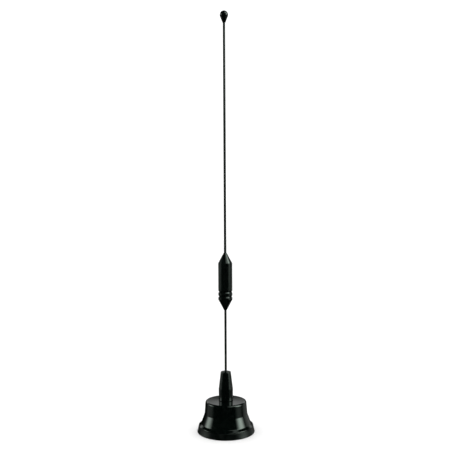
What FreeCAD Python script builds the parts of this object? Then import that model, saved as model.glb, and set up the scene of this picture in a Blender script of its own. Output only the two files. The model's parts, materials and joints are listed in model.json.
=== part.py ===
"""Screw-on omnidirectional vehicle antenna: a bell-shaped base with a collinear whip.

Millimetres, +Z up. The origin is on the axis, in the plane the rubber gasket rests on.
"""
import FreeCAD, Part
import math
import os

INCH = 25.4
X_AXIS = FreeCAD.Vector(1, 0, 0)
Y_AXIS = FreeCAD.Vector(0, 1, 0)
Z_AXIS = FreeCAD.Vector(0, 0, 1)

# Threads. A thread's pitch radius is where its ridges and grooves are equally wide.
FLANK_SLOPE = math.tan(math.radians(30))
PITCH_RADIUS_DROP = 0.32476
THREAD_START_ANGLE = 37
THREAD_RUNOUT = 0.1
SPARE_TURNS = 3
MOUNT_THREAD_PITCH = INCH / 18
MOUNT_THREAD_MAJOR_R = 1.125 * INCH / 2
MOUNT_THREAD_MINOR_R = 13.6
MOUNT_THREAD_ALLOWANCE = 0.03
STUD_THREAD_PITCH = INCH / 24
STUD_THREAD_MAJOR_R = 0.3125 * INCH / 2
STUD_THREAD_ALLOWANCE = 0.04
STUD_CREST_R = STUD_THREAD_MAJOR_R - 0.05
STUD_ROOT_R = 3.30
SOCKET_CREST_R = 3.42
SOCKET_ROOT_R = 4.06

# Base gasket: a rubber skirt that seals on the vehicle's roof.
GASKET_FOOT_R = 22.3
GASKET_TOP_R = 21.35
GASKET_BORE_R = 16.2
GASKET_LIP_Z = 1.8
GASKET_CHAMFER = 0.4
FOOT_GROOVE_INNER_R = 17.3
FOOT_GROOVE_OUTER_R = 18.2
FOOT_GROOVE_DEPTH = 0.9
SEAM_Z = 4.7

# Base housing: a moulded bell. Its foot slopes out to a thin rim, and its top falls a little outwards.
RIM_R = 21.2
RIM_TOP_Z = 5.1
CONE_FOOT_R = 19.35
CONE_FOOT_Z = 6.6
CONE_TOP_R = 16.65
CONE_TOP_Z = 14.0
HOUSING_TOP_R = 15.9
HOUSING_TOP_Z = 24.1
TOP_CROWN = 0.25
TOP_CROWN_R = 6.0
TOP_EDGE_ROUNDING = 1.45
CONE_FOOT_ROUNDING = 0.4
RIM_ROUNDING = 0.3
RIM_CHAMFER = 0.2
TOP_WALL = 2.5
CAVITY_R = 13.6
CAVITY_ROUNDING = 1.5
SCREW_BOSS_R = 2.3

# Brass mounting ring, moulded into the foot of the housing.
RING_R = 15.5
RING_BOTTOM_Z = 0.6
RING_TOP_Z = 8.8
RING_THREAD_TOP_Z = 7.4
RING_RELIEF_R = 14.5
RING_MOUTH_CHAMFER = 0.6
WAIST_DEPTH = 0.5
WAIST_BOTTOM_Z = 3.5
WAIST_TOP_Z = 5.0

# Circuit board, held up against a ledge by three screws.
BOARD_R = 15.3
BOARD_BOTTOM_Z = 10.2
BOARD_TOP_Z = 11.8
SCREW_CIRCLE_R = 12.4
SCREW_ANGLES = (90, 210, 330)
SCREW_SHANK_R = 0.9
SCREW_HEAD_R = 1.7
SCREW_HEAD_HEIGHT = 1.2
SCREW_SLOT = (1.9, 0.4, 0.6)
SCREW_TIP_Z = 16.2
LUG_ANGLE = 150
LUG_INNER_END = 10.4
LUG_WIDTH = 3.0
LUG_SHEET = 0.3

# Spring contact in the middle of the board.
PIN_TIP_Z = 7.6
PIN_R = 1.2
PIN_COLLAR_R = 1.68
PIN_COLLAR_BOTTOM_Z = 10.0
PIN_COLLAR_TOP_Z = 11.2
BARREL_R = 2.5
BARREL_BORE_R = 1.75
BARREL_BOTTOM_Z = 9.2
BARREL_BORE_TOP_Z = 16.4
BARREL_END_WALL = 0.8
RUNNING_CLEARANCE = 0.07
SPRING_WIRE_R = 0.2
SPRING_COIL_R = 1.25
SPRING_TURNS = 6

# Matching coil and its bobbin, standing on the board, and a capacitor beside them.
WINDING_GAP = 0.02
BOBBIN_R = 7.2
BOBBIN_FLANGE_R = 8.9
BOBBIN_BORE_R = 4.4
BOBBIN_TOP_Z = 18.6
BOBBIN_FLANGE = 0.9
MATCHING_WIRE_R = 0.4
MATCHING_TURNS = 4
CAPACITOR_X = -10.8
CAPACITOR_BODY = (1.6, 3.4, 1.7)
CAPACITOR_END = (1.7, 0.6, 1.8)

# Whip stud, moulded into the top of the housing.
STUD_TOP_Z = 33.1
STUD_CHAMFER = 0.5
STUD_HEX_FLATS = 12.7
STUD_HEX_BOTTOM_Z = 19.9
SOLDER_POST_R = 1.3
SOLDER_POST_BOTTOM_Z = 18.2
STUD_COLLAR_R = 5.2
STUD_COLLAR_BOTTOM_Z = 21.5
STUD_COLLAR_TOP_Z = 23.0

# Whip ferrule: screws on the stud and clamps the lower whip.
FERRULE_BOTTOM_Z = 24.35
FERRULE_R = 5.55
FERRULE_TAPER_Z = 33.2
FERRULE_NECK_R = 4.0
FERRULE_TOP_R = 3.5
FERRULE_TOP_Z = 46.4
FERRULE_TOP_BEND = (3.85, 46.22)
FERRULE_NECK_Z = 45.8
FERRULE_CHAMFER = 0.2
SEAL_POCKET_R = 5.0
SEAL_POCKET_TOP_Z = 24.97
SOCKET_MOUTH_DEPTH = 0.4
SOCKET_TOP_Z = 34.4
WHIP_SEAT_Z = 35.4
SET_SCREW_R = 1.5
SET_SCREW_LENGTH = 3.1
SET_SCREW_CUP = 0.6
SET_SCREW_KEY_FLATS = 1.5
SET_SCREW_KEY_DEPTH = 1.4
SET_SCREW_HEIGHTS = (37.5, 42.0)

# Whip rods. A rod stops short of the floor of its hole by the end gap.
LOWER_WHIP_R = 0.9
UPPER_WHIP_R = 1.0
BONDED_FIT = 0.02
END_GAP = 0.1
NECK_WALL = 0.25

# Phasing coil between the two whip rods.
PHASING_R = 5.5
PHASING_BOTTOM_Z = 94.5
LOWER_SHOULDER_Z = 102.7
LOWER_GROOVE_Z = 105.1
PARTING_Z = 108.7
UPPER_SHOULDER_Z = 131.05
PHASING_TOP_Z = 138.95
GROOVE_DEPTH = 0.65
GROOVE_HALF_WIDTH = 0.9
PHASING_BORE_R = 4.25
SPIGOT_TOP_Z = 111.5
O_RING_Z = 110.05
O_RING_R = 3.82
O_RING_SECTION_R = 0.41
O_RING_GROOVE_R = 3.4
O_RING_GROOVE_HALF = 0.45
LOWER_BORE_TOP_Z = 110.1
CORE_R = 2.4
CORE_BOTTOM_Z = 112.5
CORE_TOP_Z = 129.0
TERMINAL_R = 2.0
TERMINAL_PIN_R = 1.1
TERMINAL_PIN_LENGTH = 2.0
TERMINAL_FLOOR = 1.4
UPPER_TERMINAL_TOP_Z = CORE_TOP_Z + 4.5
PHASING_WIRE_R = 0.35
PHASING_TURNS = 8

# Whip tip: a ball that runs down into a cone.
TIP_BALL_R = 3.3
TIP_BALL_Z = 325.0
TIP_CONE_ANGLE = 21.5
TIP_BORE_TOP_Z = 323.6


def turned(*outline):
    """Revolve a closed outline about Z.

    A point is (radius, height). A third item is a point that the curve leading here passes through.
    """
    corners = [FreeCAD.Vector(point[0], 0, point[1]) for point in outline]
    edges = []
    for index, point in enumerate(outline):
        start = corners[index - 1]
        if len(point) == 3:
            middle = FreeCAD.Vector(point[2][0], 0, point[2][1])
            edges.append(Part.Arc(start, middle, corners[index]).toShape())
        else:
            edges.append(Part.makeLine(start, corners[index]))
    face = Part.Face(Part.Wire(edges))
    return face.revolve(FreeCAD.Vector(), Z_AXIS, 360)


def cylinder(radius, bottom, top, x=0, y=0):
    """Upright cylinder between two heights."""
    return Part.makeCylinder(radius, top - bottom, FreeCAD.Vector(x, y, bottom))


def hexagon_prism(across_flats, start, direction, length):
    """Hexagonal bar from a start point along a direction."""
    corner_r = across_flats / math.sqrt(3)
    corners = []
    for step in range(7):
        angle = math.radians(60 * step)
        corners.append(FreeCAD.Vector(corner_r * math.cos(angle), corner_r * math.sin(angle), 0))
    prism = Part.Face(Part.makePolygon(corners)).extrude(FreeCAD.Vector(0, 0, length))
    prism.Placement = FreeCAD.Placement(start, FreeCAD.Rotation(Z_AXIS, direction))
    return prism


def rounded(solid, rounding, *rims):
    """Fillet the circular edges of the given (radius, height) rims."""
    chosen = []
    for edge in solid.Edges:
        if not isinstance(edge.Curve, Part.Circle):
            continue
        for radius, height in rims:
            same_radius = abs(edge.Curve.Radius - radius) < 1e-4
            if same_radius and abs(edge.Curve.Center.z - height) < 1e-4:
                chosen.append(edge)
    return solid.makeFillet(rounding, chosen)


def around(shape, angles):
    """Copies of a shape turned about Z, one per angle in degrees."""
    copies = []
    for angle in angles:
        turned_copy = shape.copy()
        turned_copy.rotate(FreeCAD.Vector(), Z_AXIS, angle)
        copies.append(turned_copy)
    return copies


def swept_helix(pitch, height, radius, bottom, section):
    """Sweep a closed (radius, height) section up a right-hand helix about Z."""
    path = Part.makeHelix(pitch, height, radius)
    path.translate(FreeCAD.Vector(0, 0, bottom))
    points = [FreeCAD.Vector(r, 0, bottom + z) for r, z in section]
    outline = Part.makePolygon(points + points[:1])
    return Part.Wire(path).makePipeShell([outline], True, True)


def thread_groove(pitch, major_r, allowance, root_r, open_r, bottom, top):
    """Cutter for a 60 degree thread groove, ended flat at both heights.

    A hole's groove opens inwards, and a stud's outwards, half a pitch higher, so that they mesh.
    Each flank is cut back from the nominal thread by the allowance.
    """
    outward = open_r > root_r
    pitch_r = major_r - PITCH_RADIUS_DROP * pitch
    widening = FLANK_SLOPE if outward else -FLANK_SLOPE
    inner_r, outer_r = sorted((root_r, open_r))
    inner_half = pitch / 4 + allowance + (inner_r - pitch_r) * widening
    outer_half = pitch / 4 + allowance + (outer_r - pitch_r) * widening
    section = [
        (inner_r, -inner_half), (inner_r, inner_half), (outer_r, outer_half), (outer_r, -outer_half)]
    first_turn = math.floor(bottom / pitch) - (0.5 if outward else 1)
    turns = math.ceil((top - bottom) / pitch) + SPARE_TURNS
    groove = swept_helix(pitch, turns * pitch, inner_r, first_turn * pitch, section)
    groove.rotate(FreeCAD.Vector(), Z_AXIS, THREAD_START_ANGLE)
    return groove.common(cylinder(outer_r + pitch, bottom, top))


def wire_coil(coil_r, wire_r, bottom, top, turns):
    """Round wire wound up a cylinder, from the +X side."""
    path = Part.makeHelix((top - bottom) / turns, top - bottom, coil_r)
    path.translate(FreeCAD.Vector(0, 0, bottom))
    start = FreeCAD.Vector(coil_r, 0, bottom)
    section = Part.Wire(Part.makeCircle(wire_r, start, Y_AXIS))
    return Part.Wire(path).makePipeShell([section], True, True)


def base_gasket():
    """Rubber skirt with a sealing lip at its foot and a groove between its two ribs."""
    foot_chamfer = 0.25
    lip_draft = 0.4
    groove = turned(
        (FOOT_GROOVE_INNER_R, -1), (FOOT_GROOVE_OUTER_R, -1),
        (FOOT_GROOVE_OUTER_R, FOOT_GROOVE_DEPTH), (FOOT_GROOVE_INNER_R, FOOT_GROOVE_DEPTH))
    skirt = turned(
        (GASKET_BORE_R, 0), (GASKET_FOOT_R - foot_chamfer, 0), (GASKET_FOOT_R, foot_chamfer),
        (GASKET_FOOT_R - lip_draft, GASKET_LIP_Z), (GASKET_TOP_R, SEAM_Z - GASKET_CHAMFER),
        (GASKET_TOP_R - GASKET_CHAMFER, SEAM_Z), (GASKET_BORE_R, SEAM_Z))
    return skirt.cut(groove)


def ring_blank():
    """Outside of the mounting ring, with the waist that locks it into the moulding."""
    waist_r = RING_R - WAIST_DEPTH
    return turned(
        (0, RING_BOTTOM_Z), (RING_R, RING_BOTTOM_Z), (RING_R, WAIST_BOTTOM_Z - WAIST_DEPTH),
        (waist_r, WAIST_BOTTOM_Z), (waist_r, WAIST_TOP_Z), (RING_R, WAIST_TOP_Z + WAIST_DEPTH),
        (RING_R, RING_TOP_Z), (0, RING_TOP_Z))


def mount_ring():
    """Brass ring with the internal thread that screws on the vehicle's antenna mount."""
    mouth_r = MOUNT_THREAD_MAJOR_R + 0.1
    above = RING_TOP_Z + 1
    bore = turned(
        (0, 0), (mouth_r, 0), (mouth_r, RING_BOTTOM_Z),
        (MOUNT_THREAD_MINOR_R, RING_BOTTOM_Z + RING_MOUTH_CHAMFER),
        (MOUNT_THREAD_MINOR_R, RING_THREAD_TOP_Z), (RING_RELIEF_R, RING_THREAD_TOP_Z),
        (RING_RELIEF_R, above), (0, above))
    groove = thread_groove(
        MOUNT_THREAD_PITCH, MOUNT_THREAD_MAJOR_R, -MOUNT_THREAD_ALLOWANCE,
        MOUNT_THREAD_MAJOR_R, MOUNT_THREAD_MINOR_R - 0.1,
        RING_BOTTOM_Z + THREAD_RUNOUT / 2, RING_THREAD_TOP_Z - THREAD_RUNOUT)
    return ring_blank().cut(bore).cut(groove)


def stud_blank():
    """Outside of the whip stud, with the hexagon and collar that lock it into the moulding."""
    hexagon = hexagon_prism(
        STUD_HEX_FLATS, FreeCAD.Vector(0, 0, STUD_HEX_BOTTOM_Z), Z_AXIS,
        HOUSING_TOP_Z - TOP_WALL - STUD_HEX_BOTTOM_Z)
    shank = turned(
        (0, STUD_HEX_BOTTOM_Z), (STUD_ROOT_R, STUD_HEX_BOTTOM_Z), (STUD_COLLAR_R, STUD_COLLAR_BOTTOM_Z),
        (STUD_COLLAR_R, STUD_COLLAR_TOP_Z), (STUD_CREST_R, STUD_COLLAR_TOP_Z),
        (STUD_CREST_R, STUD_TOP_Z - STUD_CHAMFER), (STUD_CREST_R - STUD_CHAMFER, STUD_TOP_Z),
        (0, STUD_TOP_Z))
    solder_post = cylinder(SOLDER_POST_R, SOLDER_POST_BOTTOM_Z, STUD_HEX_BOTTOM_Z + 1)
    return hexagon.fuse(shank).fuse(solder_post).removeSplitter()


def top_stud():
    """Brass stud with the external thread that carries the whip."""
    groove = thread_groove(
        STUD_THREAD_PITCH, STUD_THREAD_MAJOR_R, STUD_THREAD_ALLOWANCE,
        STUD_ROOT_R, STUD_CREST_R + 0.04, HOUSING_TOP_Z + 0.3, STUD_TOP_Z + 0.4)
    return stud_blank().cut(groove)


def base_housing():
    """Moulded bell around the mounting ring, the board and the foot of the stud."""
    shoulder_z = HOUSING_TOP_Z - TOP_CROWN
    bell = turned(
        (0, RING_BOTTOM_Z), (GASKET_BORE_R, RING_BOTTOM_Z), (GASKET_BORE_R, SEAM_Z),
        (RIM_R - RIM_CHAMFER, SEAM_Z), (RIM_R, SEAM_Z + RIM_CHAMFER), (RIM_R, RIM_TOP_Z),
        (CONE_FOOT_R, CONE_FOOT_Z), (CONE_TOP_R, CONE_TOP_Z), (HOUSING_TOP_R, shoulder_z),
        (TOP_CROWN_R, HOUSING_TOP_Z), (0, HOUSING_TOP_Z))
    bell = rounded(bell, TOP_EDGE_ROUNDING, (HOUSING_TOP_R, shoulder_z))
    bell = rounded(bell, CONE_FOOT_ROUNDING, (CONE_FOOT_R, CONE_FOOT_Z))
    bell = rounded(bell, RIM_ROUNDING, (RIM_R, RIM_TOP_Z))
    ceiling_z = HOUSING_TOP_Z - TOP_WALL
    cavity = rounded(
        cylinder(CAVITY_R, BOARD_TOP_Z, ceiling_z), CAVITY_ROUNDING, (CAVITY_R, ceiling_z))
    boss = cylinder(SCREW_BOSS_R, BOARD_TOP_Z, SCREW_TIP_Z + 1.5, SCREW_CIRCLE_R)
    pilot = cylinder(SCREW_SHANK_R, BOARD_TOP_Z - 1, SCREW_TIP_Z + 0.4, SCREW_CIRCLE_R)
    cavity = cavity.cut(Part.makeCompound(around(boss, SCREW_ANGLES)))
    board_pocket = cylinder(RING_R, RING_TOP_Z - 0.1, BOARD_TOP_Z)
    shell = bell.cut(cavity).cut(board_pocket).cut(ring_blank()).cut(stud_blank())
    return shell.cut(Part.makeCompound(around(pilot, SCREW_ANGLES)))


def circuit_board():
    """Round board with holes for the contact, the screws and the coil's lead."""
    board = cylinder(BOARD_R, BOARD_BOTTOM_Z, BOARD_TOP_Z)
    below, above = BOARD_BOTTOM_Z - 1, BOARD_TOP_Z + 1
    screw_hole = cylinder(SCREW_SHANK_R + 0.1, below, above, SCREW_CIRCLE_R)
    holes = around(screw_hole, SCREW_ANGLES)
    holes.append(cylinder(BARREL_R, below, above))
    holes.append(cylinder(MATCHING_WIRE_R, below, above, BOBBIN_R + MATCHING_WIRE_R))
    return board.cut(Part.makeCompound(holes))


def board_screws():
    """Three pan-head screws, put in from below."""
    head_bottom = BOARD_BOTTOM_Z - SCREW_HEAD_HEIGHT
    shank_r = SCREW_SHANK_R - 0.01
    crown_r = SCREW_HEAD_R - 0.6
    screw = turned(
        (0, head_bottom), (crown_r, head_bottom),
        (SCREW_HEAD_R, BOARD_BOTTOM_Z - 0.5, (SCREW_HEAD_R - 0.2, head_bottom + 0.2)),
        (SCREW_HEAD_R, BOARD_BOTTOM_Z), (shank_r, BOARD_BOTTOM_Z), (shank_r, SCREW_TIP_Z - shank_r),
        (0, SCREW_TIP_Z))
    length, width, depth = SCREW_SLOT
    slot_start = FreeCAD.Vector(-length / 2, -width / 2, head_bottom - 1)
    slot = Part.makeBox(length, width, depth + 1, slot_start)
    screw = screw.cut(Part.makeCompound(around(slot, (0, 90))))
    screw.translate(FreeCAD.Vector(SCREW_CIRCLE_R, 0, 0))
    return Part.makeCompound(around(screw, SCREW_ANGLES))


def ground_lug():
    """Brass clip that joins the board's ground to the mounting ring."""
    outer_end = RING_R - 0.15
    side_y = -LUG_WIDTH / 2
    foot = Part.makeBox(
        outer_end - LUG_INNER_END, LUG_WIDTH, LUG_SHEET,
        FreeCAD.Vector(LUG_INNER_END, side_y, BOARD_BOTTOM_Z - LUG_SHEET))
    leg = Part.makeBox(
        LUG_SHEET, LUG_WIDTH, BOARD_BOTTOM_Z - RING_TOP_Z,
        FreeCAD.Vector(outer_end - LUG_SHEET, side_y, RING_TOP_Z))
    lug = foot.fuse(leg).removeSplitter()
    lug.rotate(FreeCAD.Vector(), Z_AXIS, LUG_ANGLE)
    return lug


def contact_barrel():
    """Brass sleeve in the board that guides the centre contact; its lip holds the collar in."""
    lip_bore_r = PIN_R + RUNNING_CLEARANCE
    lip_top = PIN_COLLAR_BOTTOM_Z
    top = BARREL_BORE_TOP_Z + BARREL_END_WALL
    flange_r = BARREL_R + 1.0
    flange_top = BOARD_TOP_Z + 0.6
    chamfer = 0.3
    return turned(
        (lip_bore_r, BARREL_BOTTOM_Z), (BARREL_R - chamfer, BARREL_BOTTOM_Z),
        (BARREL_R, BARREL_BOTTOM_Z + chamfer), (BARREL_R, BOARD_TOP_Z), (flange_r, BOARD_TOP_Z),
        (flange_r, flange_top), (BARREL_R, flange_top), (BARREL_R, top - chamfer),
        (BARREL_R - chamfer, top), (0, top), (0, BARREL_BORE_TOP_Z), (BARREL_BORE_R, BARREL_BORE_TOP_Z),
        (BARREL_BORE_R, lip_top), (lip_bore_r, lip_top))


def contact_pin():
    """Centre contact with a domed tip and the collar that its spring pushes on."""
    spigot_r = SPRING_COIL_R - SPRING_WIRE_R - 0.1
    spigot_top = PIN_COLLAR_TOP_Z + 1.2
    collar_bottom = PIN_COLLAR_BOTTOM_Z + 0.02
    dome_height = 0.5
    dome_middle = (0.625 * PIN_R, PIN_TIP_Z + 0.3 * dome_height)
    return turned(
        (0, PIN_TIP_Z), (PIN_R, PIN_TIP_Z + dome_height, dome_middle), (PIN_R, collar_bottom),
        (PIN_COLLAR_R, collar_bottom), (PIN_COLLAR_R, PIN_COLLAR_TOP_Z),
        (spigot_r, PIN_COLLAR_TOP_Z), (spigot_r, spigot_top), (0, spigot_top))


def contact_spring():
    """Compression spring between the pin's collar and the top of the barrel."""
    bottom = PIN_COLLAR_TOP_Z + SPRING_WIRE_R
    top = BARREL_BORE_TOP_Z - SPRING_WIRE_R
    return wire_coil(SPRING_COIL_R, SPRING_WIRE_R, bottom, top, SPRING_TURNS)


def coil_former():
    """Moulded bobbin that stands on the board around the contact barrel."""
    bottom = BOARD_TOP_Z
    bobbin = turned(
        (BOBBIN_BORE_R, bottom), (BOBBIN_FLANGE_R, bottom), (BOBBIN_FLANGE_R, bottom + BOBBIN_FLANGE),
        (BOBBIN_R, bottom + BOBBIN_FLANGE), (BOBBIN_R, BOBBIN_TOP_Z - BOBBIN_FLANGE),
        (BOBBIN_FLANGE_R, BOBBIN_TOP_Z - BOBBIN_FLANGE), (BOBBIN_FLANGE_R, BOBBIN_TOP_Z),
        (BOBBIN_BORE_R, BOBBIN_TOP_Z))
    slot_width = 3 * MATCHING_WIRE_R
    lead_slot = Part.makeBox(
        BOBBIN_FLANGE_R, slot_width, BOBBIN_TOP_Z - bottom + 2,
        FreeCAD.Vector(BOBBIN_R, -slot_width / 2, bottom - 1))
    return bobbin.cut(lead_slot)


def matching_coil():
    """Copper winding, with one lead down to the board and one over to the stud's solder post."""
    flange_gap = MATCHING_WIRE_R + 0.1
    coil_r = BOBBIN_R + MATCHING_WIRE_R + WINDING_GAP
    lead_r = MATCHING_WIRE_R - WINDING_GAP
    bottom = BOARD_TOP_Z + BOBBIN_FLANGE + flange_gap
    top = BOBBIN_TOP_Z - BOBBIN_FLANGE - flange_gap
    over_z = BOBBIN_TOP_Z + MATCHING_WIRE_R + 0.05
    coil = wire_coil(coil_r, MATCHING_WIRE_R, bottom, top, MATCHING_TURNS)
    lead_down = cylinder(lead_r, BOARD_BOTTOM_Z - 0.5, bottom - MATCHING_WIRE_R, coil_r)
    lead_up = cylinder(lead_r, top + MATCHING_WIRE_R, over_z, coil_r)
    corner = FreeCAD.Vector(coil_r, 0, over_z)
    elbow = Part.makeSphere(MATCHING_WIRE_R, corner)
    lead_in = Part.makeCylinder(lead_r, coil_r - SOLDER_POST_R, corner, -X_AXIS)
    return Part.makeCompound([coil, lead_down, lead_up.multiFuse([elbow, lead_in])])


def matching_capacitor():
    """Ceramic chip capacitor on the board, beside the bobbin."""
    width, length, height = CAPACITOR_BODY
    end_width, end_length, end_height = CAPACITOR_END
    body_corner = FreeCAD.Vector(CAPACITOR_X - width / 2, -length / 2, BOARD_TOP_Z)
    body = Part.makeBox(width, length, height, body_corner)
    ends = []
    for y in (-length / 2 - end_length, length / 2):
        corner = FreeCAD.Vector(CAPACITOR_X - end_width / 2, y, BOARD_TOP_Z)
        ends.append(Part.makeBox(end_width, end_length, end_height, corner))
    return body.multiFuse(ends)


def ferrule_seal():
    """Rubber washer in the foot of the ferrule, around the stud."""
    gap = 0.02
    bore_r = SOCKET_ROOT_R + 0.05
    outer_r = SEAL_POCKET_R - gap
    bottom = HOUSING_TOP_Z + gap
    top = SEAL_POCKET_TOP_Z - gap
    return turned((bore_r, bottom), (outer_r, bottom), (outer_r, top), (bore_r, top))


def whip_ferrule():
    """Turned ferrule: seal pocket and threaded socket below, whip seat and clamp screws above."""
    body = turned(
        (0, FERRULE_BOTTOM_Z), (FERRULE_R - FERRULE_CHAMFER, FERRULE_BOTTOM_Z),
        (FERRULE_R, FERRULE_BOTTOM_Z + FERRULE_CHAMFER), (FERRULE_R, FERRULE_TAPER_Z),
        (FERRULE_NECK_R, FERRULE_NECK_Z), (FERRULE_TOP_R, FERRULE_TOP_Z, FERRULE_TOP_BEND),
        (0, FERRULE_TOP_Z))
    mouth_z = SEAL_POCKET_TOP_Z + SOCKET_MOUTH_DEPTH
    below = FERRULE_BOTTOM_Z - 1
    socket = turned(
        (0, below), (SEAL_POCKET_R, below),
        (SEAL_POCKET_R, SEAL_POCKET_TOP_Z), (SOCKET_ROOT_R, SEAL_POCKET_TOP_Z), (SOCKET_ROOT_R, mouth_z),
        (SOCKET_CREST_R, mouth_z + SOCKET_ROOT_R - SOCKET_CREST_R), (SOCKET_CREST_R, SOCKET_TOP_Z),
        (0, SOCKET_TOP_Z))
    groove = thread_groove(
        STUD_THREAD_PITCH, STUD_THREAD_MAJOR_R, STUD_THREAD_ALLOWANCE,
        SOCKET_ROOT_R, SOCKET_CREST_R - 0.05, mouth_z - THREAD_RUNOUT, SOCKET_TOP_Z - 3 * THREAD_RUNOUT)
    whip_bore = cylinder(LOWER_WHIP_R + BONDED_FIT, WHIP_SEAT_Z, FERRULE_TOP_Z + 1)
    screw_holes = []
    for height in SET_SCREW_HEIGHTS:
        start = FreeCAD.Vector(0, 0, height)
        screw_holes.append(Part.makeCylinder(SET_SCREW_R, FERRULE_R, start, Y_AXIS))
    return body.cut(socket).cut(groove).cut(whip_bore).cut(Part.makeCompound(screw_holes))


def set_screws():
    """Two socket set screws that clamp the lower whip in the ferrule."""
    inner_y = LOWER_WHIP_R + 0.01
    shank_y = inner_y + SET_SCREW_CUP
    key_y = inner_y + SET_SCREW_LENGTH - SET_SCREW_KEY_DEPTH
    screws = []
    for height in SET_SCREW_HEIGHTS:
        cup_start = FreeCAD.Vector(0, inner_y, height)
        cup = Part.makeCone(SET_SCREW_R - SET_SCREW_CUP, SET_SCREW_R, SET_SCREW_CUP, cup_start, Y_AXIS)
        shank_start = FreeCAD.Vector(0, shank_y, height)
        shank = Part.makeCylinder(SET_SCREW_R, SET_SCREW_LENGTH - SET_SCREW_CUP, shank_start, Y_AXIS)
        key_start = FreeCAD.Vector(0, key_y, height)
        socket = hexagon_prism(SET_SCREW_KEY_FLATS, key_start, Y_AXIS, SET_SCREW_KEY_DEPTH + 1)
        screws.append(cup.fuse(shank).removeSplitter().cut(socket))
    return Part.makeCompound(screws)


def lower_whip():
    """Steel rod from the ferrule up into the phasing coil."""
    return cylinder(LOWER_WHIP_R, WHIP_SEAT_Z + END_GAP, LOWER_BORE_TOP_Z - END_GAP)


def phasing_cap():
    """Lower cap of the phasing coil: cone, turned groove and the spigot that enters the housing."""
    neck_r = LOWER_WHIP_R + NECK_WALL
    bore_r = LOWER_WHIP_R + BONDED_FIT
    spigot_r = PHASING_BORE_R - BONDED_FIT
    seal_bottom = O_RING_Z - O_RING_GROOVE_HALF
    seal_top = O_RING_Z + O_RING_GROOVE_HALF
    return turned(
        (bore_r, PHASING_BOTTOM_Z), (neck_r, PHASING_BOTTOM_Z), (PHASING_R, LOWER_SHOULDER_Z),
        (PHASING_R, LOWER_GROOVE_Z - GROOVE_HALF_WIDTH), (PHASING_R - GROOVE_DEPTH, LOWER_GROOVE_Z),
        (PHASING_R, LOWER_GROOVE_Z + GROOVE_HALF_WIDTH), (PHASING_R, PARTING_Z - GROOVE_HALF_WIDTH),
        (PHASING_R - GROOVE_DEPTH, PARTING_Z), (spigot_r, PARTING_Z), (spigot_r, seal_bottom),
        (O_RING_GROOVE_R, seal_bottom), (O_RING_GROOVE_R, seal_top), (spigot_r, seal_top),
        (spigot_r, SPIGOT_TOP_Z), (TERMINAL_R, SPIGOT_TOP_Z), (TERMINAL_R, LOWER_SHOULDER_Z),
        (bore_r, LOWER_SHOULDER_Z))


def cap_seal():
    """O-ring on the cap's spigot."""
    ring = Part.makeTorus(O_RING_R, O_RING_SECTION_R)
    ring.translate(FreeCAD.Vector(0, 0, O_RING_Z))
    return ring


def phasing_housing():
    """Upper shell of the phasing coil: tube with a conical top."""
    neck_r = UPPER_WHIP_R + NECK_WALL
    bore_r = UPPER_WHIP_R + BONDED_FIT
    return turned(
        (PHASING_BORE_R, PARTING_Z), (PHASING_R - GROOVE_DEPTH, PARTING_Z),
        (PHASING_R, PARTING_Z + GROOVE_HALF_WIDTH), (PHASING_R, UPPER_SHOULDER_Z),
        (neck_r, PHASING_TOP_Z), (bore_r, PHASING_TOP_Z), (bore_r, UPPER_TERMINAL_TOP_Z),
        (TERMINAL_R, UPPER_TERMINAL_TOP_Z), (TERMINAL_R, CORE_TOP_Z + 1.5),
        (PHASING_BORE_R, CORE_TOP_Z + 0.5))


def lower_terminal():
    """Brass end fitting that joins the lower whip to the phasing wire."""
    pin_top = CORE_BOTTOM_Z + TERMINAL_PIN_LENGTH
    whip_bore_r = LOWER_WHIP_R + BONDED_FIT
    return turned(
        (whip_bore_r, LOWER_SHOULDER_Z), (TERMINAL_R, LOWER_SHOULDER_Z), (TERMINAL_R, CORE_BOTTOM_Z),
        (TERMINAL_PIN_R, CORE_BOTTOM_Z), (TERMINAL_PIN_R, pin_top), (0, pin_top),
        (0, LOWER_BORE_TOP_Z), (whip_bore_r, LOWER_BORE_TOP_Z))


def phasing_core():
    """Insulating rod between the two terminals, with the phasing wire wound on it."""
    core = cylinder(CORE_R, CORE_BOTTOM_Z, CORE_TOP_Z)
    hole_depth = TERMINAL_PIN_LENGTH + END_GAP
    lower_hole = cylinder(TERMINAL_PIN_R, CORE_BOTTOM_Z - 1, CORE_BOTTOM_Z + hole_depth)
    upper_hole = cylinder(TERMINAL_PIN_R, CORE_TOP_Z - hole_depth, CORE_TOP_Z + 1)
    core = rounded(core, 0.3, (CORE_R, CORE_BOTTOM_Z), (CORE_R, CORE_TOP_Z))
    return core.cut(lower_hole).cut(upper_hole)


def phasing_wire():
    """Copper winding, its two ends laid down to the terminals."""
    end_margin = 1.5
    lead_reach = 0.5
    coil_r = CORE_R + PHASING_WIRE_R + WINDING_GAP
    lead_r = PHASING_WIRE_R - WINDING_GAP
    bottom = CORE_BOTTOM_Z + end_margin
    top = CORE_TOP_Z - end_margin
    coil = wire_coil(coil_r, PHASING_WIRE_R, bottom, top, PHASING_TURNS)
    lower_end = CORE_BOTTOM_Z - lead_reach
    upper_end = CORE_TOP_Z + lead_reach
    pieces = [cylinder(lead_r, lower_end, bottom, coil_r), cylinder(lead_r, top, upper_end, coil_r)]
    for height in (lower_end, upper_end):
        start = FreeCAD.Vector(coil_r, 0, height)
        lead_in = Part.makeCylinder(lead_r, coil_r - TERMINAL_R - WINDING_GAP, start, -X_AXIS)
        pieces.append(lead_in)
    for height in (lower_end, bottom, top, upper_end):
        pieces.append(Part.makeSphere(PHASING_WIRE_R, FreeCAD.Vector(coil_r, 0, height)))
    return coil.multiFuse(pieces)


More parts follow.
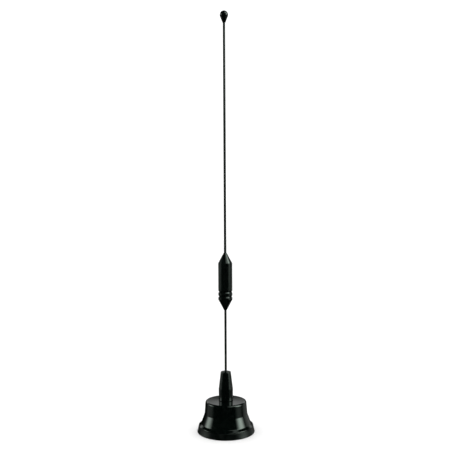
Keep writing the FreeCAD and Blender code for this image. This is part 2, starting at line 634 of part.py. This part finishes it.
def upper_terminal():
    """Brass end fitting that joins the phasing wire to the upper whip."""
    pin_bottom = CORE_TOP_Z - TERMINAL_PIN_LENGTH
    whip_bore_r = UPPER_WHIP_R + BONDED_FIT
    floor_z = CORE_TOP_Z + TERMINAL_FLOOR
    return turned(
        (0, pin_bottom), (TERMINAL_PIN_R, pin_bottom), (TERMINAL_PIN_R, CORE_TOP_Z),
        (TERMINAL_R, CORE_TOP_Z), (TERMINAL_R, UPPER_TERMINAL_TOP_Z), (whip_bore_r, UPPER_TERMINAL_TOP_Z),
        (whip_bore_r, floor_z), (0, floor_z))


def upper_whip():
    """Steel rod from the phasing coil up into the tip."""
    return cylinder(UPPER_WHIP_R, CORE_TOP_Z + TERMINAL_FLOOR + END_GAP, TIP_BORE_TOP_Z - END_GAP)


def whip_tip():
    """Teardrop tip: a ball with a cone tangent to it."""
    angle = math.radians(TIP_CONE_ANGLE)
    tangent_r = TIP_BALL_R * math.cos(angle)
    tangent_z = TIP_BALL_Z - TIP_BALL_R * math.sin(angle)
    neck_r = UPPER_WHIP_R + NECK_WALL - 0.1
    neck_z = tangent_z - (tangent_r - neck_r) / math.tan(angle)
    bore_r = UPPER_WHIP_R + BONDED_FIT
    diagonal = TIP_BALL_R * math.sqrt(0.5)
    return turned(
        (bore_r, neck_z), (neck_r, neck_z), (tangent_r, tangent_z),
        (0, TIP_BALL_Z + TIP_BALL_R, (diagonal, TIP_BALL_Z + diagonal)),
        (0, TIP_BORE_TOP_Z), (bore_r, TIP_BORE_TOP_Z))


SUB_PARTS = (
    base_housing, base_gasket, mount_ring, top_stud, circuit_board, board_screws, ground_lug,
    coil_former, matching_coil, matching_capacitor, contact_barrel, contact_spring, contact_pin,
    ferrule_seal, whip_ferrule, set_screws, lower_whip, phasing_cap, cap_seal, lower_terminal,
    phasing_core, phasing_wire, upper_terminal, phasing_housing, upper_whip, whip_tip)

os.makedirs("parts", exist_ok=True)
for make_part in SUB_PARTS:
    name = make_part.__name__
    shape = make_part()
    shape.exportStep(f"parts/{name}.step")
    print(f"{name:20s} valid {shape.isValid()}  solids {len(shape.Solids)}  volume {shape.Volume:.2f}")
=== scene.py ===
"""Looks, light and camera for the omnidirectional vehicle antenna. Metres, in the CAD frame."""
import json
import math

import bmesh
import bpy
from mathutils import Matrix, Vector


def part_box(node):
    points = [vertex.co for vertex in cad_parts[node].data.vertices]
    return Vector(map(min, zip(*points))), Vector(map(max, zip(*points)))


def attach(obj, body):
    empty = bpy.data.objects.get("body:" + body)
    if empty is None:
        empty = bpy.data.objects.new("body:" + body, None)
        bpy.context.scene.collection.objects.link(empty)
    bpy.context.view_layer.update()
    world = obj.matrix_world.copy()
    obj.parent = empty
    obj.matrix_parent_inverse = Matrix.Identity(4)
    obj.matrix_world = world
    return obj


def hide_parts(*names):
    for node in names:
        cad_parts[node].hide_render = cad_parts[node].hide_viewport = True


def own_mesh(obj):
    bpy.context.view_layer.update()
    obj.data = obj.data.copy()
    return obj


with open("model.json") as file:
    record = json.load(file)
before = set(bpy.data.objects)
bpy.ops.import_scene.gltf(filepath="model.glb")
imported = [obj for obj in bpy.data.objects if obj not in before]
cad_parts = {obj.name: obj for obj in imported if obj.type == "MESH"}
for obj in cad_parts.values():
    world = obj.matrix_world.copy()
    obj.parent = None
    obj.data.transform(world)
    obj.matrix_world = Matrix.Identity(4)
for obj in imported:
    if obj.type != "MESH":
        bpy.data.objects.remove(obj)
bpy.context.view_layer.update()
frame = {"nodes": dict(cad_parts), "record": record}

NODES = frame["nodes"]
MM = 0.001

# What the black parts share: their colour, the dust on them and the tint of their gloss.
INK = (0.0002, 0.0010, 0.0007)
DUST = (0.018, 0.022, 0.020)
GLOSS_TINT = (0.82, 1.0, 0.88, 1)

# Radii where the solder starts, and the thickness of the pads under the board. The lead's is a
# little less than its wire's, so that the solder starts inside the wire.
BARREL_R = 2.5 * MM
COIL_WIRE_R = 0.4 * MM
COIL_LEAD_R = 0.38 * MM
PAD_THICKNESS = 0.06 * MM

# Contact spring. The crowding is how far its turns are drawn towards its two ends.
SPRING_WIRE_R = 0.19 * MM
SPRING_TURNS = 8
SPRING_STEPS_PER_TURN = 32
SPRING_WIRE_SIDES = 12
END_CROWDING = 0.075

# Camera: level, looking along +Y at the antenna's axis, and rolled a little.
SENSOR_WIDTH = 36.0
CAMERA_DISTANCE = 477.7 * MM
CAMERA_HEIGHT = 160.8 * MM
CAMERA_ROLL = math.radians(-0.3)
FRAME_WIDTH_AT_AXIS = 351.5 * MM

# Studio: soft boxes that the gloss reflects. Bearings and elevations are in degrees as seen from
# the antenna. Bearing 0 is towards the camera and bearings grow to the picture's right; elevation 0
# is the horizon. A box's values are its bearings, its elevations and its strength. The softness is
# how far a box's edges fade to each side, in degrees.
SIDE_SOFTNESS = 13
TOP_SOFTNESS = 7
SOFT_BOXES = {
    "left strip": ((-108, -80), (2, 27), 4.6),
    "right strip": ((62, 90), (2, 60), 7.0),
    "right key": ((20, 92), (34, 70), 2.0),
    "left wall": ((-122, -76), (-15, 2), 0.33),
    "right wall": ((58, 90), (-15, 34), 0.42),
    "right rear wall": ((106, 150), (-15, 21), 0.42),
    "backdrop": ((135, 225), (18, 27), 1.2),
}

# What the gloss mirrors between the boxes, and the white light on everything but the gloss.
DARK_STRENGTH = 0.003
DOME_STRENGTH = 1.22

# Floor, and the sun that lights it from above.
FLOOR_LIGHT_STRENGTH = 0.4
FLOOR_LIGHT_ANGLE = math.radians(150)
FLOOR_HALF_WIDTH = 6.0
FLOOR_COLOUR = (0.86, 0.86, 0.86)
FLOOR_PATCH_COLOUR = (0.88, 0.88, 0.88)
FLOOR_PATCH_SIZE = 0.2


# ---------------------------------------------------------------- materials

class Graph:
    """Short ways to add nodes to a shader tree."""

    def __init__(self, tree):
        self.tree = tree

    def add(self, kind, **settings):
        node = self.tree.nodes.new(kind)
        for key, value in settings.items():
            setattr(node, key, value)
        return node

    def link(self, output, node_input):
        self.tree.links.new(output, node_input)

    def math(self, operation, *values):
        """One maths node; each value is a number or another node's output."""
        node = self.add("ShaderNodeMath", operation=operation)
        for socket, value in zip(node.inputs, values):
            if isinstance(value, (int, float)):
                socket.default_value = value
            else:
                self.link(value, socket)
        return node.outputs["Value"]

    def ramp(self, value, start, end, low=0.0, high=1.0, kind="LINEAR"):
        """Value remapped from start..end to low..high, clamped."""
        node = self.add("ShaderNodeMapRange", interpolation_type=kind)
        node.inputs["From Min"].default_value = start
        node.inputs["From Max"].default_value = end
        node.inputs["To Min"].default_value = low
        node.inputs["To Max"].default_value = high
        self.link(value, node.inputs["Value"])
        return node.outputs["Result"]

    def window(self, value, low, high, softness):
        """1 between low and high, with a soft edge centred on each."""
        rise = self.ramp(value, low - softness, low + softness, kind="SMOOTHSTEP")
        fall = self.ramp(value, high + softness, high - softness, kind="SMOOTHSTEP")
        return self.math("MULTIPLY", rise, fall)


class Surface(Graph):
    """A procedural material built round one Principled shader."""

    def __init__(self, name, colour, roughness, metallic=0.0):
        self.material = bpy.data.materials.new(name)
        self.material.use_nodes = True
        self.material.diffuse_color = (*colour, 1)
        super().__init__(self.material.node_tree)
        self.shader = self.tree.nodes["Principled BSDF"]
        self.shader.inputs["Base Color"].default_value = (*colour, 1)
        self.shader.inputs["Roughness"].default_value = roughness
        self.shader.inputs["Metallic"].default_value = metallic
        self.colour = colour
        self.roughness = roughness
        self.place = self.add("ShaderNodeTexCoord").outputs["Object"]

    def stretched(self, x, y, z):
        """Object coordinates scaled along each axis."""
        mapping = self.add("ShaderNodeMapping")
        mapping.inputs["Scale"].default_value = (x, y, z)
        self.link(self.place, mapping.inputs["Vector"])
        return mapping.outputs["Vector"]

    def noise(self, size, detail=3.0, stretch=(1, 1, 1)):
        """Noise with features of about the given size in metres."""
        node = self.add("ShaderNodeTexNoise")
        node.inputs["Scale"].default_value = 1 / size
        node.inputs["Detail"].default_value = detail
        self.link(self.stretched(*stretch), node.inputs["Vector"])
        return node.outputs["Fac"]

    def specks(self, size, share):
        """Sparse round specks: 1 inside a speck and 0 elsewhere."""
        cells = self.add("ShaderNodeTexVoronoi")
        cells.inputs["Scale"].default_value = 1 / size
        self.link(self.place, cells.inputs["Vector"])
        return self.ramp(cells.outputs["Distance"], share, share * 0.5)

    def tint(self, factor, other):
        """Blend the colour so far towards another colour."""
        node = self.add("ShaderNodeMix", data_type="RGBA")
        base = self.shader.inputs["Base Color"]
        if base.is_linked:
            self.link(base.links[0].from_socket, node.inputs["A"])
        else:
            node.inputs["A"].default_value = (*self.colour, 1)
        node.inputs["B"].default_value = (*other, 1)
        self.link(factor, node.inputs["Factor"])
        self.link(node.outputs["Result"], base)

    def vary_roughness(self, value, spread):
        """Roughness that swings by the spread to each side of its middle value."""
        low, high = self.roughness - spread, self.roughness + spread
        # Most of the noise lies between 0.3 and 0.7.
        self.link(self.ramp(value, 0.3, 0.7, low, high), self.shader.inputs["Roughness"])

    def bump(self, height, distance):
        """Relief of the given depth in metres, on top of any relief so far."""
        node = self.add("ShaderNodeBump")
        node.inputs["Distance"].default_value = distance
        node.inputs["Strength"].default_value = 1.0
        self.link(height, node.inputs["Height"])
        normal = self.shader.inputs["Normal"]
        if normal.is_linked:
            self.link(normal.links[0].from_socket, node.inputs["Normal"])
        self.link(node.outputs["Normal"], normal)


def black(name, roughness):
    """Black surface with the faint green cast that all the antenna's black parts share."""
    surface = Surface(name, INK, roughness)
    surface.shader.inputs["Specular Tint"].default_value = GLOSS_TINT
    return surface


def gloss_plastic():
    """Injection-moulded housing: faint orange peel, polish haze and a few dust specks."""
    surface = black("gloss_plastic", 0.10)
    surface.vary_roughness(surface.noise(9 * MM, 4), 0.025)
    surface.tint(surface.ramp(surface.noise(3 * MM, 5), 0.45, 0.8, 0, 0.12), DUST)
    surface.bump(surface.noise(2.2 * MM, 2), 0.012 * MM)
    surface.bump(surface.noise(0.25 * MM, 2), 0.0008 * MM)
    surface.tint(surface.specks(2.4 * MM, 0.03), DUST)
    return surface.material


def black_rubber():
    """Moulded rubber: fine grain, a dusty bloom and slightly uneven sheen."""
    surface = black("black_rubber", 0.32)
    surface.shader.inputs["Specular IOR Level"].default_value = 0.22
    bloom = surface.noise(5 * MM, 5)
    surface.vary_roughness(bloom, 0.05)
    surface.tint(surface.ramp(bloom, 0.45, 0.75, 0, 0.25), DUST)
    surface.bump(surface.noise(0.16 * MM, 3), 0.012 * MM)
    surface.bump(surface.noise(1.8 * MM, 2), 0.02 * MM)
    return surface.material


def satin_plastic():
    """Turned black acetal: soft sheen with fine rings left by the tool."""
    surface = black("satin_plastic", 0.20)
    surface.vary_roughness(surface.noise(4 * MM, 4), 0.04)
    rings = surface.noise(2.0 * MM, 2, (0.15, 0.15, 14))
    surface.bump(rings, 0.004 * MM)
    surface.bump(surface.noise(0.3 * MM, 2), 0.002 * MM)
    surface.tint(surface.ramp(rings, 0.5, 0.8, 0, 0.15), DUST)
    return surface.material


def black_plate(name, roughness, ring_size):
    """Black plating over turned metal, with the turning rings showing through."""
    surface = black(name, roughness)
    surface.vary_roughness(surface.noise(3 * MM, 4), 0.03)
    rings = surface.noise(ring_size, 2, (0.1, 0.1, 10))
    surface.bump(rings, 0.003 * MM)
    wear = surface.ramp(surface.noise(1.1 * MM, 6), 0.66, 0.8, 0, 0.35)
    surface.tint(wear, DUST)
    return surface.material


def coated_rod():
    """Black-coated steel rod: long faint draw lines and tiny rubs."""
    surface = black("black_coated_steel", 0.30)
    lines = surface.noise(0.35 * MM, 3, (1, 1, 0.02))
    surface.vary_roughness(surface.noise(6 * MM, 3), 0.05)
    surface.bump(lines, 0.002 * MM)
    surface.tint(surface.ramp(surface.noise(2 * MM, 5), 0.62, 0.8, 0, 0.3), DUST)
    return surface.material


def metal(name, colour, roughness, tarnish_colour, tarnish=0.5):
    """Bare turned metal with cutter rings and patches of tarnish."""
    surface = Surface(name, colour, roughness, metallic=1.0)
    patches = surface.noise(2.5 * MM, 5)
    surface.vary_roughness(patches, roughness * 0.35)
    surface.tint(surface.ramp(patches, 0.48, 0.72, 0, tarnish), tarnish_colour)
    surface.bump(surface.noise(1.0 * MM, 2, (0.2, 0.2, 12)), 0.004 * MM)
    return surface.material


def enamelled_copper():
    """Magnet wire: copper under a clear amber enamel."""
    surface = Surface("copper", (0.70, 0.23, 0.09), 0.22, metallic=1.0)
    surface.shader.inputs["Coat Weight"].default_value = 0.6
    surface.vary_roughness(surface.noise(1.2 * MM, 4), 0.07)
    surface.tint(surface.ramp(surface.noise(0.8 * MM, 4), 0.5, 0.75, 0, 0.6), (0.45, 0.12, 0.05))
    return surface.material


def solder_mask():
    """Green board: glass weave under a glossy mask."""
    surface = Surface("fibreglass_board", (0.010, 0.085, 0.030), 0.28)
    weave = surface.add("ShaderNodeTexChecker")
    weave.inputs["Scale"].default_value = 1 / (0.5 * MM)
    surface.link(surface.place, weave.inputs["Vector"])
    surface.tint(surface.ramp(weave.outputs["Fac"], 0, 1, 0.0, 0.25), (0.02, 0.13, 0.045))
    surface.vary_roughness(surface.noise(1.5 * MM, 4), 0.08)
    surface.bump(surface.noise(0.4 * MM, 3), 0.01 * MM)
    return surface.material


def moulded(name, colour, shade, roughness):
    """Pale moulded or pultruded insulator with faint flow marks."""
    surface = Surface(name, colour, roughness)
    flow = surface.noise(2.5 * MM, 5, (1, 1, 0.4))
    surface.tint(surface.ramp(flow, 0.4, 0.75, 0, 0.7), shade)
    surface.vary_roughness(flow, 0.08)
    surface.bump(surface.noise(0.3 * MM, 3), 0.01 * MM)
    return surface.material


def tinned_solder():
    """Solder: bright, slightly frosted and lumpy."""
    surface = Surface("solder", (0.62, 0.62, 0.60), 0.28, metallic=1.0)
    surface.vary_roughness(surface.noise(0.5 * MM, 5), 0.12)
    surface.tint(surface.ramp(surface.noise(0.7 * MM, 5), 0.5, 0.75, 0, 0.6), (0.35, 0.34, 0.32))
    surface.bump(surface.noise(0.4 * MM, 4), 0.03 * MM)
    return surface.material


MATERIALS = {
    "gloss_plastic": gloss_plastic(),
    "black_rubber": black_rubber(),
    "satin_plastic": satin_plastic(),
    "black_plated_brass": black_plate("black_plated_brass", 0.20, 0.8 * MM),
    "black_oxide_steel": black_plate("black_oxide_steel", 0.38, 0.4 * MM),
    "black_coated_steel": coated_rod(),
    "brass": metal("brass", (0.78, 0.56, 0.22), 0.24, (0.48, 0.30, 0.10)),
    "gold_plated_brass": metal(
        "gold_plated_brass", (0.94, 0.68, 0.26), 0.14, (0.80, 0.52, 0.18), tarnish=0.3),
    "zinc_steel": metal("zinc_steel", (0.62, 0.63, 0.64), 0.28, (0.42, 0.42, 0.40)),
    "spring_steel": metal("spring_steel", (0.50, 0.50, 0.51), 0.22, (0.33, 0.32, 0.30)),
    "copper": enamelled_copper(),
    "fibreglass_board": solder_mask(),
    "former_plastic": moulded("former_plastic", (0.74, 0.71, 0.63), (0.60, 0.56, 0.47), 0.42),
    "core_fibreglass": moulded("core_fibreglass", (0.66, 0.62, 0.42), (0.50, 0.46, 0.28), 0.38),
    "ceramic": moulded("ceramic", (0.42, 0.29, 0.17), (0.30, 0.20, 0.11), 0.35),
}
SOLDER = tinned_solder()


def finish_cad_nodes():
    """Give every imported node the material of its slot."""
    for row in frame["record"]["subparts"]:
        node = NODES[row["node"]]
        node.data.materials.clear()
        node.data.materials.append(MATERIALS[row["material_slot"]])


# ---------------------------------------------------------------- mesh helpers

def new_piece(name, mesh_data, material, body):
    """Link a finished bmesh as a smooth piece that rides on a body."""
    mesh = bpy.data.meshes.new(name)
    bmesh.ops.recalc_face_normals(mesh_data, faces=mesh_data.faces)
    mesh_data.to_mesh(mesh)
    mesh_data.free()
    mesh.materials.append(material)
    mesh.shade_smooth()
    piece = bpy.data.objects.new(name, mesh)
    bpy.context.scene.collection.objects.link(piece)
    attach(piece, body)
    return piece


def add_tube(mesh_data, points, radius, sides):
    """Closed round tube along a list of points."""
    rings = []
    side = None
    for index, point in enumerate(points):
        before = points[max(index - 1, 0)]
        after = points[min(index + 1, len(points) - 1)]
        along = (after - before).normalized()
        if side is None:
            side = along.orthogonal().normalized()
        side = (side - along * side.dot(along)).normalized()
        other = along.cross(side)
        ring = []
        for step in range(sides):
            angle = 2 * math.pi * step / sides
            ring.append(mesh_data.verts.new(
                point + radius * (math.cos(angle) * side + math.sin(angle) * other)))
        rings.append(ring)
    for lower, upper in zip(rings, rings[1:]):
        for step in range(sides):
            following = (step + 1) % sides
            mesh_data.faces.new((lower[step], lower[following], upper[following], upper[step]))
    mesh_data.faces.new(list(reversed(rings[0])))
    mesh_data.faces.new(rings[-1])


def add_ring(mesh_data, outline, centre_x=0.0):
    """Lathe a closed (radius, height) outline about an upright axis at centre_x."""
    steps = 96
    rings = []
    for step in range(steps):
        angle = 2 * math.pi * step / steps
        ring = []
        for radius, height in outline:
            place = (centre_x + radius * math.cos(angle), radius * math.sin(angle), height)
            ring.append(mesh_data.verts.new(place))
        rings.append(ring)
    for index, ring in enumerate(rings):
        following = rings[(index + 1) % steps]
        for corner in range(len(outline)):
            after = (corner + 1) % len(outline)
            mesh_data.faces.new((ring[corner], following[corner], following[after], ring[after]))


# ---------------------------------------------------------------- added pieces

def contact_spring_coils():
    """Compression spring of the centre contact, wound closer towards its ends."""
    low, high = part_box("contact_spring")
    coil_r = high.x - SPRING_WIRE_R
    bottom, top = low.z + SPRING_WIRE_R, high.z - SPRING_WIRE_R
    steps = SPRING_TURNS * SPRING_STEPS_PER_TURN
    points = []
    for step in range(steps + 1):
        share = step / steps
        climb = share - END_CROWDING * math.sin(2 * math.pi * share)
        angle = 2 * math.pi * SPRING_TURNS * share
        points.append(Vector((
            coil_r * math.cos(angle), coil_r * math.sin(angle), bottom + (top - bottom) * climb)))
    mesh_data = bmesh.new()
    add_tube(mesh_data, points, SPRING_WIRE_R, SPRING_WIRE_SIDES)
    spring = new_piece("spring_coils", mesh_data, MATERIALS["spring_steel"], "base")
    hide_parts("contact_spring")
    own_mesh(spring)


def board_pads(underside_z, coil_lead_x):
    """Tinned copper on the board's underside: ground ring, contact pad and coil lead's pad."""
    edge_step = 0.02 * MM
    edge_margin = 0.9 * MM
    ground_width = 1.6 * MM
    contact_pad_width = 1.7 * MM
    lead_pad_width = 1.0 * MM
    ground_inner_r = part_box("circuit_board")[1].x - edge_margin - ground_width
    mesh_data = bmesh.new()
    for inner_r, width, centre_x in (
            (ground_inner_r, ground_width, 0.0),
            (BARREL_R, contact_pad_width, 0.0),
            (COIL_LEAD_R, lead_pad_width, coil_lead_x)):
        outer_r = inner_r + width
        add_ring(mesh_data, (
            (inner_r, underside_z), (outer_r, underside_z),
            (outer_r - edge_step, underside_z - PAD_THICKNESS),
            (inner_r + edge_step, underside_z - PAD_THICKNESS)), centre_x)
    new_piece("board_pads", mesh_data, SOLDER, "base")


def solder_joint(name, pad_z, centre_x, radius, reach, height):
    """Hollow-flanked fillet of solder round an upright lead, under its pad."""
    steps = 8
    outline = [(radius, pad_z)]
    for step in range(steps + 1):
        angle = math.pi / 2 * step / steps
        outline.append((
            radius + reach * (1 - math.cos(angle)), pad_z - height * (1 - math.sin(angle))))
    mesh_data = bmesh.new()
    add_ring(mesh_data, outline, centre_x)
    new_piece(name, mesh_data, SOLDER, "base")


def board_underside():
    """Pads and solder joints of the contact barrel and the coil's lead."""
    underside_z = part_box("circuit_board")[0].z
    coil_lead_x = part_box("matching_coil")[1].x - COIL_WIRE_R
    pad_z = underside_z - PAD_THICKNESS
    board_pads(underside_z, coil_lead_x)
    solder_joint("contact_solder", pad_z, 0.0, BARREL_R, reach=1.3 * MM, height=0.7 * MM)
    solder_joint(
        "coil_lead_solder", pad_z, coil_lead_x, COIL_LEAD_R, reach=0.8 * MM, height=0.35 * MM)


# ---------------------------------------------------------------- studio

def add_camera():
    """Level camera in front of the antenna."""
    camera = bpy.data.objects.new("camera", bpy.data.cameras.new("camera"))
    bpy.context.scene.collection.objects.link(camera)
    camera.data.sensor_width = SENSOR_WIDTH
    camera.data.lens = SENSOR_WIDTH * CAMERA_DISTANCE / FRAME_WIDTH_AT_AXIS
    upright = Matrix.Rotation(math.radians(90), 4, "X")
    roll = Matrix.Rotation(CAMERA_ROLL, 4, "Z")
    place = Matrix.Translation((0, -CAMERA_DISTANCE, CAMERA_HEIGHT))
    camera.matrix_world = place @ upright @ roll
    camera.data.clip_start = 0.01
    camera.data.clip_end = 50
    bpy.context.scene.camera = camera


def add_floor():
    """Pale floor that takes the antenna's contact shadow and isn't mirrored in its gloss."""
    mesh = bpy.data.meshes.new("floor")
    half = FLOOR_HALF_WIDTH
    corners = [(-half, -half, 0), (half, -half, 0), (half, half, 0), (-half, half, 0)]
    mesh.from_pydata(corners, [], [(0, 1, 2, 3)])
    floor = bpy.data.objects.new("floor", mesh)
    bpy.context.scene.collection.objects.link(floor)
    surface = Surface("floor", FLOOR_COLOUR, 0.9)
    surface.tint(surface.noise(FLOOR_PATCH_SIZE, 3), FLOOR_PATCH_COLOUR)
    mesh.materials.append(surface.material)
    floor.visible_glossy = False


def add_floor_light():
    """Wide soft light from above, which the gloss doesn't mirror."""
    light = bpy.data.lights.new("floor_light", "SUN")
    light.energy = FLOOR_LIGHT_STRENGTH
    light.angle = FLOOR_LIGHT_ANGLE
    lamp = bpy.data.objects.new("floor_light", light)
    bpy.context.scene.collection.objects.link(lamp)
    lamp.visible_glossy = False


def add_studio():
    """White dome for all but the gloss, which mirrors soft boxes in a dark room instead."""
    world = bpy.data.worlds.new("studio")
    bpy.context.scene.world = world
    world.use_nodes = True
    graph = Graph(world.node_tree)
    background = graph.tree.nodes["Background"]
    background.inputs["Color"].default_value = (1, 1, 1, 1)
    direction = graph.add("ShaderNodeSeparateXYZ")
    graph.link(graph.add("ShaderNodeTexCoord").outputs["Generated"], direction.inputs["Vector"])
    east, north, up = direction.outputs
    south = graph.math("MULTIPLY", north, -1.0)
    bearing = graph.math("DEGREES", graph.math("ARCTAN2", east, south))
    # Behind the antenna a bearing jumps from 180 to -180, so a box there uses 0 to 360.
    full_bearing = graph.math("WRAP", bearing, 360.0, 0.0)
    elevation = graph.math("DEGREES", graph.math("ARCSINE", up))
    glow = None
    for bearings, elevations, strength in SOFT_BOXES.values():
        turned = full_bearing if bearings[1] > 180 else bearing
        across = graph.window(turned, *bearings, SIDE_SOFTNESS)
        upward = graph.window(elevation, *elevations, TOP_SOFTNESS)
        box = graph.math("MULTIPLY", graph.math("MULTIPLY", across, upward), strength)
        glow = box if glow is None else graph.math("MAXIMUM", glow, box)
    glossy_ray = graph.add("ShaderNodeLightPath").outputs["Is Glossy Ray"]
    mirrored = graph.math("MULTIPLY", graph.math("ADD", glow, DARK_STRENGTH), glossy_ray)
    dome = graph.ramp(glossy_ray, 0.0, 1.0, DOME_STRENGTH, 0.0)
    graph.link(graph.math("ADD", dome, mirrored), background.inputs["Strength"])


finish_cad_nodes()
contact_spring_coils()
board_underside()
add_floor()
add_floor_light()
add_studio()
add_camera()
bpy.context.scene.view_settings.view_transform = "Standard"
